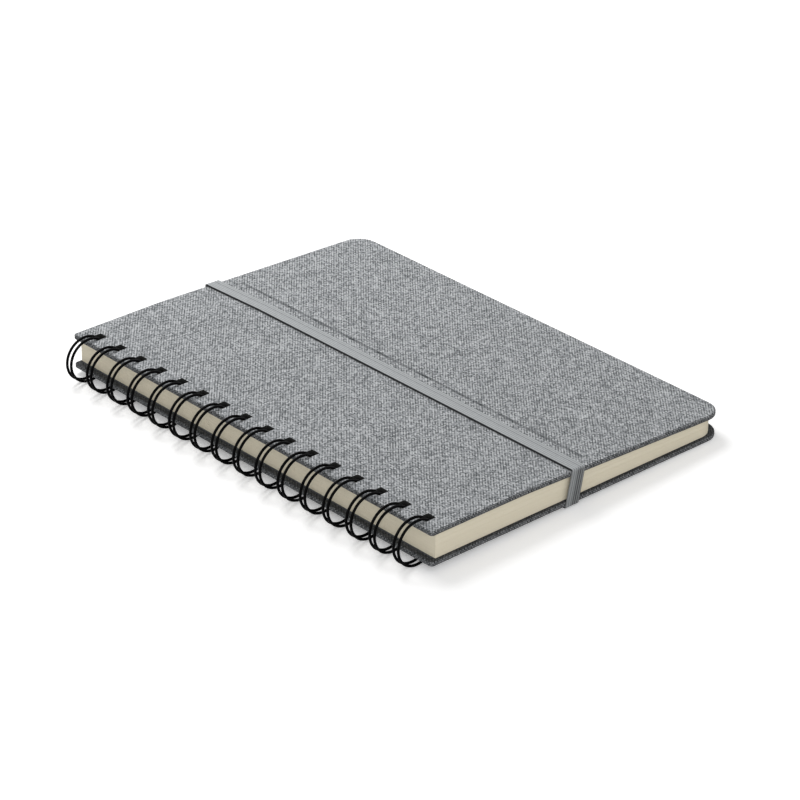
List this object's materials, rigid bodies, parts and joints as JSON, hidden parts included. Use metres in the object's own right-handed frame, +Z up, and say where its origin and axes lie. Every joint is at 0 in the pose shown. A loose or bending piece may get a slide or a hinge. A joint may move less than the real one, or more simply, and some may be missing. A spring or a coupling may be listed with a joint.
{
  "type": "spiral notebook",
  "caption": "Closed notebook with cloth-covered boards, a block of pages, a twin-loop wire spine and an elastic band around it.",
  "frame": {"origin": "middle of the outline of the closed notebook, on the table it lies on", "axes": "+X from the wire spine to the fore-edge, +Y along the spine towards the far end, +Z up from the table"},
  "size_m": [0.1616, 0.2104, 0.0191],
  "materials": {
    "front_cover": "matte woven cloth over board",
    "front_lining": "matte paper",
    "page_block": "cut page edges",
    "back_lining": "matte paper",
    "back_cover": "matte woven cloth over board",
    "wire_binding": "satin black coating on steel wire",
    "elastic_band": "ribbed woven elastic"
  },
  "bodies": {
    "pages": {"page_block": "page_block", "wire_binding": "wire_binding"},
    "front": {"front_cover": "front_cover", "front_lining": "front_lining"},
    "back": {"back_cover": "back_cover", "back_lining": "back_lining", "elastic_band": "elastic_band"}
  },
  "joints": [
    {"name": "front_hinge", "type": "hinge", "parent": "pages", "child": "front", "pos_m": [-0.07125, 0, 0.00955], "axis": [0, -1, 0], "range_deg": [0, 180]},
    {"name": "back_hinge", "type": "hinge", "parent": "pages", "child": "back", "pos_m": [-0.07125, 0, 0.00955], "axis": [0, 1, 0], "range_deg": [0, 180], "deforming": ["elastic_band"]}
  ]
}
